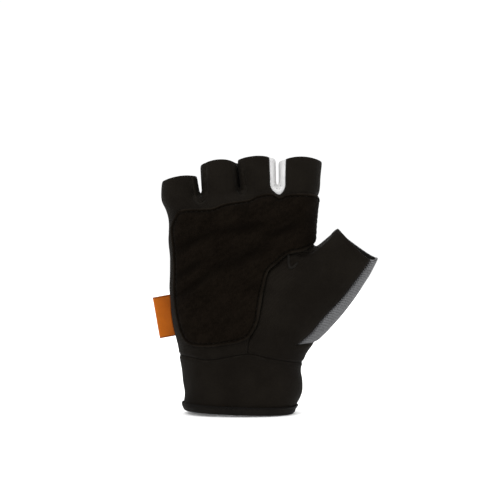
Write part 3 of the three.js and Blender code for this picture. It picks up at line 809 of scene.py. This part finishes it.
def makeLabel(finish):
    c, s = np.cos(label["turn"]), np.sin(label["turn"])
    h = np.linspace(-label["height"] / 2, label["height"] / 2, label["rows"])[:, None]
    middle, axisL, axisH = np.array(label["middle"], float), np.array([c, 0, -s]), np.array([s, 0, c])
    m = (label["between"] + label["leaf"]) / 2
    roots = []
    for side in (1, -1):
        found = cast(middle + axisH * h + axisL * 14 + np.array([0, side * m, 0]), -axisL, 60)
        roots.append(((found - middle) @ axisL - label["sunk"])[:, None])
    fold = -label["length"] / 2 + m + label["leaf"] / 2
    t = np.linspace(0, 1, label["leafSteps"])
    arc = np.radians(np.linspace(90, 270, 13))[1:-1]
    along = np.concatenate([roots[0] * (1 - t) + fold * t, np.tile(fold + m * np.cos(arc), (len(h), 1)),
                            fold * (1 - t) + roots[1] * t], axis=1)
    over = np.concatenate([np.full(len(t), m), m * np.sin(arc), np.full(len(t), -m)])
    centre = np.stack(np.broadcast_arrays(along, over), axis=2)
    step = unit(np.gradient(centre, axis=1))
    side = np.stack([-step[..., 1], step[..., 0]], axis=2) * label["leaf"] / 2
    loop = np.concatenate([centre - side, (centre + side)[:, ::-1]], axis=1)
    reach = np.clip((6 - loop[..., 0]) / 12.5, 0, 1)
    bow = label["bow"] * reach**2 * (2 * h / label["height"]) + label["wave"] * reach * np.sin(h / 3.4)
    points = (middle + axisH * h[:, None] + axisL * loop[..., :1]
              + np.array([0, 1, 0]) * (loop[..., 1] + bow)[..., None])
    rows, columns = loop.shape[:2]
    cap = [[k, k + 1, columns - 2 - k, columns - 1 - k] for k in range(columns // 2 - 1)]
    faces = gridFaces(rows, columns, closeColumns=True).tolist() + [face[::-1] for face in cap]
    faces += [[v + (rows - 1) * columns for v in face] for face in cap]
    run = places(loop[..., 0], h, reach).reshape(-1, 3)
    piece = makeMesh("folded_label", points.reshape(-1, 3), faces, [finish], run=run)
    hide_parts("side_label")
    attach(piece, "root")


# Rows of thread: pitch, length, width and rise of a stitch, its turn on the cloth and its lift off the form
threads = {"pad": (2.7, 2.15, 0.34, 0.12, 0.0, 1.25), "wrist": (2.5, 1.9, 0.28, 0.12, 0.0, 0.0),
           "hem": (2.6, 2.0, 0.3, 0.12, 0.0, 1.05), "side": (2.5, 1.9, 0.34, 0.16, 0.0, 0.0),
           "thumb": (1.3, 1.5, 0.34, 0.24, 1.15, -0.12), "notch": (1.9, 1.35, 0.3, 0.14, 0.0, 0.0),
           "rings": 9, "sides": 6, "inset": {"pad": 1.8, "wrist": 1.5, "hem": 1.2, "side": 1.6, "notch": 1.9}}


def makeThreads(black, brown, grey):
    inset = threads["inset"]
    edge = resample(looped(padCurve), 700)
    run = unit(np.gradient(edge, axis=0))
    inner = edge + np.stack([run[:, 1], -run[:, 0]], axis=1) * inset["pad"]
    makeStitches("thread_pad", onPalm(inner), threads["pad"], brown)
    ring = ringRound(lambda x: np.interp(x, *wristSeam.T) - inset["wrist"])
    makeStitches("thread_wrist", ring, threads["wrist"], black)
    ring = ringRound(lambda x: binding["height"] - inset["hem"] + hemHeight(x))
    makeStitches("thread_hem", ring, threads["hem"], black)
    for name, x, low, high, toward in (("little", -33, 33, 120.5, -1), ("index", 33, 93, 131.5, 1)):
        start = places(x, form["sideSeam"] + inset["side"], np.linspace(low, high, 120))
        makeStitches("thread_side_" + name, cast(start, (toward, 0, 0)), threads["side"], black)
    path = straightOut(resample(thumbSideSeam, 160), -7)
    makeStitches("thread_thumb", path[openingDistance(path) < -0.6], threads["thumb"], black)
    notch = "gusset_index_middle"
    outline = notchOutline(*notches[notch])
    outline = resample(outline[outline[:, 1] < 134], 90)
    for name, side in (("front", -1), ("back", 1)):
        path = walkTo(straightOut(outline, side * 2, side), notchRegions[notch], -inset["notch"])
        makeStitches("thread_notch_" + name, path[openingDistance(path) < -1], threads["notch"], grey)
    print("threads ready")


# Dart: a short fold standing on the ball of the thumb, round in section and thinner at its ends. Its cloth is painted
# lighter, a painted highlight along the fold.
dart = {"path": [(24.6, 84.4), (24.7, 81.4), (24.9, 78.5), (25.6, 77.0), (27.0, 77.3), (29.6, 79.8)],
        "radius": 0.7, "sunk": 0.05, "rings": 60, "sides": 12}


def makeDart(finish):
    rings, sides = dart["rings"], dart["sides"]
    centre = straightOut(resample(smoothCurve(dart["path"]), rings), -5)
    normal = slopeOf(gloveDistance, centre)
    across = np.cross(normal, unit(np.gradient(centre, axis=0)))
    t = np.linspace(-1, 1, rings)
    radius = dart["radius"] * np.sqrt(np.maximum(1 - t**6, 0.01))
    points = tubePoints(centre - normal * dart["sunk"], across, normal, radius, sides)
    turn = circle(sides)
    run = places(turn, t[:, None] * 7, 9).reshape(-1, 3)
    # A constant seam value gives the dart the lighter worn band of its finish, part of its painted highlight
    piece = makeMesh("thumb_dart", points, tubeFaces(rings, sides), [finish], seam=np.full(len(points), 0.5), run=run)
    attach(piece, "root")


# Finishes. A Wire is a shader socket that can be added, taken away, multiplied and divided.
class Wire:
    def __init__(self, tree, socket):
        self.tree, self.socket = tree, socket

    def node(self, kind, settings, inputs, *outputs):
        made = self.tree.nodes.new(kind)
        for key, value in settings.items():
            setattr(made, key, value)
        for key, value in inputs.items():
            if isinstance(value, Wire):
                self.tree.links.new(value.socket, made.inputs[key])
            else:
                made.inputs[key].default_value = value
        found = [Wire(self.tree, made.outputs[output]) for output in outputs or (0,)]
        return found if len(found) > 1 else found[0]

    def math(self, operation, *others):
        return self.node("ShaderNodeMath", {"operation": operation}, dict(enumerate((self, *others))))

    def __add__(self, other):
        return self.math("ADD", other)

    def __mul__(self, other):
        return self.math("MULTIPLY", other)

    def __sub__(self, other):
        return self.math("SUBTRACT", other)

    def __rsub__(self, other):
        return self.node("ShaderNodeMath", {"operation": "SUBTRACT"}, {0: other, 1: self})

    def __truediv__(self, other):
        return self.math("DIVIDE", other)

    __radd__, __rmul__ = __add__, __mul__

    def sine(self):  # one turn for each whole number
        return (self * (2 * np.pi)).math("SINE")

    def wave(self):
        return self.sine() * 0.5 + 0.5

    def between(self, low, high):
        settings = {"interpolation_type": "SMOOTHSTEP", "clamp": True}
        return self.node("ShaderNodeMapRange", settings, {"Value": self, "From Min": low, "From Max": high})

    def mixed(self, dark, light):
        dark, light = (c if isinstance(c, Wire) else (*c, 1) for c in (dark, light))
        return self.node("ShaderNodeMix", {"data_type": "RGBA"}, {0: self, 6: dark, 7: light}, 2)

    def noise(self, scale, detail=3, roughness=0.55, stretch=None, turn=0):
        place = self
        if stretch:
            place = self.node("ShaderNodeMapping", {}, {"Vector": place, "Rotation": (0, turn, 0)})
            place = self.node("ShaderNodeMapping", {}, {"Vector": place, "Scale": stretch})
        inputs = {"Vector": place, "Scale": scale, "Detail": detail, "Roughness": roughness}
        return self.node("ShaderNodeTexNoise", {}, inputs)

    def attribute(self, name, output="Fac"):
        return self.node("ShaderNodeAttribute", {"attribute_name": name}, {}, output)

    def run(self):
        return self.node("ShaderNodeSeparateXYZ", {}, {0: self.attribute("run", "Vector")}, 0, 1, 2)

    def bump(self, distance, under=None, strength=1):
        inputs = {"Height": self, "Distance": distance * mm, "Strength": strength}
        return self.node("ShaderNodeBump", {}, {**inputs, "Normal": under} if under else inputs)


# Starts a material with constants on its shader, and gives it back with the wire of the piece's coordinates
def startFinish(name, sheen=0.0, shine=0.5, spread=0.5, glow=0.0):
    material = bpy.data.materials.new(name)
    material.use_nodes = True
    tree = material.node_tree
    constants = {"Sheen Weight": sheen, "Sheen Roughness": spread, "Specular IOR Level": shine,
                 "Emission Color": (1, 1, 1, 1), "Emission Strength": glow}
    for key, value in constants.items():
        tree.nodes["Principled BSDF"].inputs[key].default_value = value
    return material, Wire(tree, None).node("ShaderNodeTexCoord", {}, {}, "Object")


def finished(material, colour, roughness, normal):
    tree = material.node_tree
    for key, wire in (("Base Color", colour), ("Roughness", roughness), ("Normal", normal)):
        tree.links.new(wire.socket, tree.nodes["Principled BSDF"].inputs[key])
    return material


# Stretch jersey: columns of V-shaped loops, paler in patches along its seams from wear and a painted highlight on the
# seam ridges, and with painted shade darkening the wrist's seam
jersey = {"pitch": 0.75, "loop": 0.62, "dark": (0.0027, 0.0018, 0.0010), "light": (0.0064, 0.0050, 0.0034),
          "worn": (0.0140, 0.0118, 0.0090), "groove": 0.9}
innerFace = {"pitch": 0.95, "loop": 0.8, "dark": (0.0050, 0.0045, 0.0040), "light": (0.0150, 0.0140, 0.0130),
             "worn": (0.0150, 0.0140, 0.0130), "groove": 0}
pale = {"pitch": 0.8, "loop": 0.66, "dark": (0.41, 0.41, 0.41), "light": (0.62, 0.615, 0.61),
        "worn": (0.36, 0.36, 0.37), "groove": 0}
# Dart cloth: the jersey painted lighter throughout, a painted highlight on the dart's raised edges
paintedHighlight = {"pitch": 0.75, "loop": 0.62, "dark": (0.0048, 0.0041, 0.0033), "light": (0.0126, 0.0108, 0.0088),
          "worn": (0.0115, 0.0100, 0.0082), "groove": 0}


def clothFinish(name, facts, depth=0.09):
    material, place = startFinish(name, sheen=0.008, shine=0.04)
    u, v, _ = place.run()
    ridge = ((u / facts["pitch"]).math("FRACT") - 0.5).math("ABSOLUTE")
    knit = (v / facts["loop"] + ridge * 1.3).wave() * (1 - ridge.between(0.32, 0.5) * 0.8)
    fine = place.noise(900)
    patch = place.noise(45, 4, 0.6)
    seam = place.attribute("seam")
    sewn = 1 - seam.between(0.0, 1.3)
    pull = place.noise(420, 2) * (1 - seam.between(0.4, 3.4))
    tone = (knit * 0.35 + patch.between(0.3, 0.7) * 0.4 + fine * 0.25).between(0.1, 0.95)
    # A patchy band along the seams turns to the worn colour: wear, and on the black cloth also a painted highlight
    # along the seam ridges
    rub = (sewn * place.noise(260, 2).between(0.35, 0.7)) * 0.5
    colour = rub.mixed(tone.mixed(facts["dark"], facts["light"]), facts["worn"])
    # Painted shade: below about 60 mm the seam lines darken to the dark colour, standing in for the shadow in the
    # wrist seam's crease
    groove = (1 - seam.between(0.05, 0.5)) * (1 - v.between(55, 65))
    colour = (groove * facts["groove"]).mixed(colour, facts["dark"])
    normal = (pull * 0.5 - sewn * 0.55).bump(0.5, (knit + fine * 0.5).bump(depth))
    return finished(material, colour, 0.86 - knit * 0.16 - patch * 0.1, normal)


# Spacer knit: close ribs across, crossed by rows of small holes, heathered from two greys
knitMesh = {"rib": 0.95, "hole": 1.15, "lean": 0.16, "dark": (0.014, 0.014, 0.015), "mid": (0.043, 0.043, 0.045),
            "light": (0.119, 0.120, 0.125)}


def meshFinish(name):
    facts = knitMesh
    material, place = startFinish(name, sheen=0.04, shine=0.25)
    u, v, _ = place.run()
    row = (v - u * facts["lean"]) / facts["rib"]
    rib = row.wave()
    odd = (row * 0.5).math("FLOOR") * 0.5
    across = ((u / facts["hole"] + odd).math("FRACT") - 0.5).math("ABSOLUTE")
    hole = (1 - across.between(0.08, 0.26)) * (1 - rib.between(0.1, 0.5))
    strand = (u / facts["hole"] * 4 + v * 0.9).wave()
    heather = place.noise(700, 4, 0.7)
    patch = place.noise(60)
    tone = (rib * 0.55 + strand * 0.12 + heather.between(0.3, 0.7) * 0.3 + patch * 0.15).between(0.08, 1.0)
    seam = place.attribute("seam")
    sewn = 1 - seam.between(0.0, 1.2)
    colour = hole.mixed(tone.mixed(facts["mid"], facts["light"]), facts["dark"])
    colour = (sewn * 0.4).mixed(colour, facts["mid"])
    normal = (rib + strand * 0.2 - hole * 1.2 + heather * 0.3).bump(0.22)
    normal = (place.noise(380, 2) * (1 - seam.between(0.4, 3.0)) * 0.6 - sewn * 0.6).bump(0.5, normal)
    return finished(material, colour, 0.9 - rib * 0.12, normal)


# Suede: short nap brushed in patches, with painted shade darkening its folds and its sewn groove, and lighter in
# patches along its rolled edge from wear and a painted highlight
suede = {"dark": (0.0012, 0.0007, 0.0003), "mid": (0.0051, 0.0034, 0.0020), "light": (0.0110, 0.0085, 0.0060)}


def suedeFinish(name):
    material, place = startFinish(name, sheen=0.005, shine=0.02, spread=0.6)
    edge = place.attribute("edge")
    warp = place.noise(90, 4, 0.6)
    fibre = place.noise(1500, 4, 0.75, (1.0, 1.0, 0.45))
    grain = place.noise(520, 5, 0.7)
    brushed = place.noise(95, 6, 0.68, (1.0, 1.0, 2.3), 0.6).between(0.3, 0.72)
    tone = (fibre * 0.53 + grain * 0.46 + brushed * 0.21).between(0.28, 0.92)
    # Painted shade: the folds darken towards the dark suede colour by their depth
    colour = (place.attribute("fold") * 0.75).mixed(tone.mixed(suede["dark"], suede["mid"]), suede["dark"])
    # Lighter in patches along the rolled edge: wear, and a painted highlight on the roll
    worn = (1 - edge.between(0.3, 1.5)) * warp.between(0.3, 0.62)
    colour = (worn * 0.6).mixed(colour, suede["light"])
    # Painted shade: the sewn groove darkens to the dark suede colour
    grooveShade = (1 - (edge - pad["grooveAt"]).math("ABSOLUTE").between(0.1, 0.7)) * 0.7
    colour = grooveShade.mixed(colour, suede["dark"])
    normal = warp.bump(0.9, (fibre * 0.7 + grain * 0.6).bump(0.28), 0.5)
    return finished(material, colour, 0.97 - brushed * 0.1, normal)


# Binding: a smooth folded tape with a fine cross rib
tape = {"rib": 0.5, "cross": 0.55, "dark": (0.0024, 0.0018, 0.0012), "light": (0.0060, 0.0048, 0.0035),
        "fold": (0.0013, 0.0010, 0.0007)}


def tapeFinish(name):
    material, place = startFinish(name, sheen=0.01, shine=0.06, spread=0.4)
    u, v, _ = place.run()
    rib = (u / tape["rib"]).wave()
    cross = (v / tape["cross"] + (u / tape["rib"]).math("FLOOR") * 0.5).wave()
    patch = place.noise(120, 4)
    tone = (rib * 0.3 + cross * 0.2 + patch.between(0.3, 0.7) * 0.5).between(0.0, 1.0)
    turned = v.between(2.3, 3.0) * 0.8
    colour = turned.mixed(tone.mixed(tape["dark"], tape["light"]), tape["fold"])
    normal = place.noise(240).bump(0.25, (rib + cross * 0.5).bump(0.1))
    return finished(material, colour, 0.74 - rib * 0.12, normal)


# Woven label: warp and weft of a fine ribbon, with painted shade darkening it towards the seam where it lies against
# the glove, and deeper in tone along its selvedges
ribbon = {"thread": 0.34, "deep": (0.18, 0.038, 0.003), "light": (0.40, 0.100, 0.008), "edge": (0.12, 0.024, 0.002)}


def ribbonFinish(name):
    material, place = startFinish(name, shine=0.05)
    u, v, reach = place.run()
    weave = (u / ribbon["thread"]).sine() * (v / ribbon["thread"]).sine() * 0.5 + 0.5
    # Painted shade: the ribbon is lighter the farther it reaches from the seam, so it darkens where it lies against
    # the glove
    tone = (weave * 0.3 + place.noise(160, 4, 0.6) * 0.5 + reach * 0.5).between(0.15, 1.0)
    selvedge = v.math("ABSOLUTE").between(10.2, 10.7)
    colour = (selvedge * 0.6).mixed(tone.mixed(ribbon["deep"], ribbon["light"]), ribbon["edge"])
    return finished(material, colour, 0.62 + weave * 0.15, (weave + selvedge).bump(0.12))


def threadFinish(name, dark, light):
    material, place = startFinish(name, sheen=0.005, shine=0.05)
    fibre = place.noise(2200, 3, 0.7, (1.0, 1.0, 0.35))
    return finished(material, fibre.between(0.3, 0.7).mixed(dark, light), 0.62 + fibre * 0.2, fibre.bump(0.08))


def stageFinish(name):
    material, place = startFinish(name, glow=0.07)
    grain = place.noise(40)
    colour = grain.mixed((0.93, 0.93, 0.93), (0.95, 0.95, 0.95))
    return finished(material, colour, 0.85 + grain * 0.05, grain.bump(0.02))


def makeFloor(low):
    size = np.linspace(-3000, 3000, 13)
    points = places(size[:, None], size, low).reshape(-1, 3)
    piece = makeMesh("floor", points, gridFaces(13, 13)[:, ::-1], [stageFinish("pale floor")])


makeCamera()
makeStudio()
print("stage ready")
blackCloth = clothFinish("black stretch cloth", jersey)
paleCloth = clothFinish("pale stretch cloth", pale, 0.12)
greyMesh = meshFinish("grey spacer knit")
lining = clothFinish("dark inner face", innerFace)
suedeThread = threadFinish("dark brown thread", (0.0018, 0.0013, 0.0009), (0.0064, 0.0050, 0.0036))
blackThread = threadFinish("black thread", (0.0020, 0.0015, 0.0011), (0.0062, 0.0051, 0.0040))
greyThread = threadFinish("grey thread", (0.10, 0.10, 0.11), (0.25, 0.25, 0.26))
finishes = {"gusset_index_middle": paleCloth, "back_panel": greyMesh, "thumb_back": greyMesh}
skin = makeSkin(skinAxes())
print("skin", len(skin[0]), "points")
for name in regions:
    makePanel(name, skin, finishes.get(name, blackCloth), lining)
makePad(suedeFinish("brushed suede"))
makeBinding(tapeFinish("edge tape"))
makeLabel(ribbonFinish("woven ribbon"))
makeThreads(blackThread, suedeThread, greyThread)
# The dart's finish is lighter cloth, a painted highlight
makeDart(clothFinish("rubbed stretch cloth", paintedHighlight))
makeFloor(-1.5)
print("pieces ready")
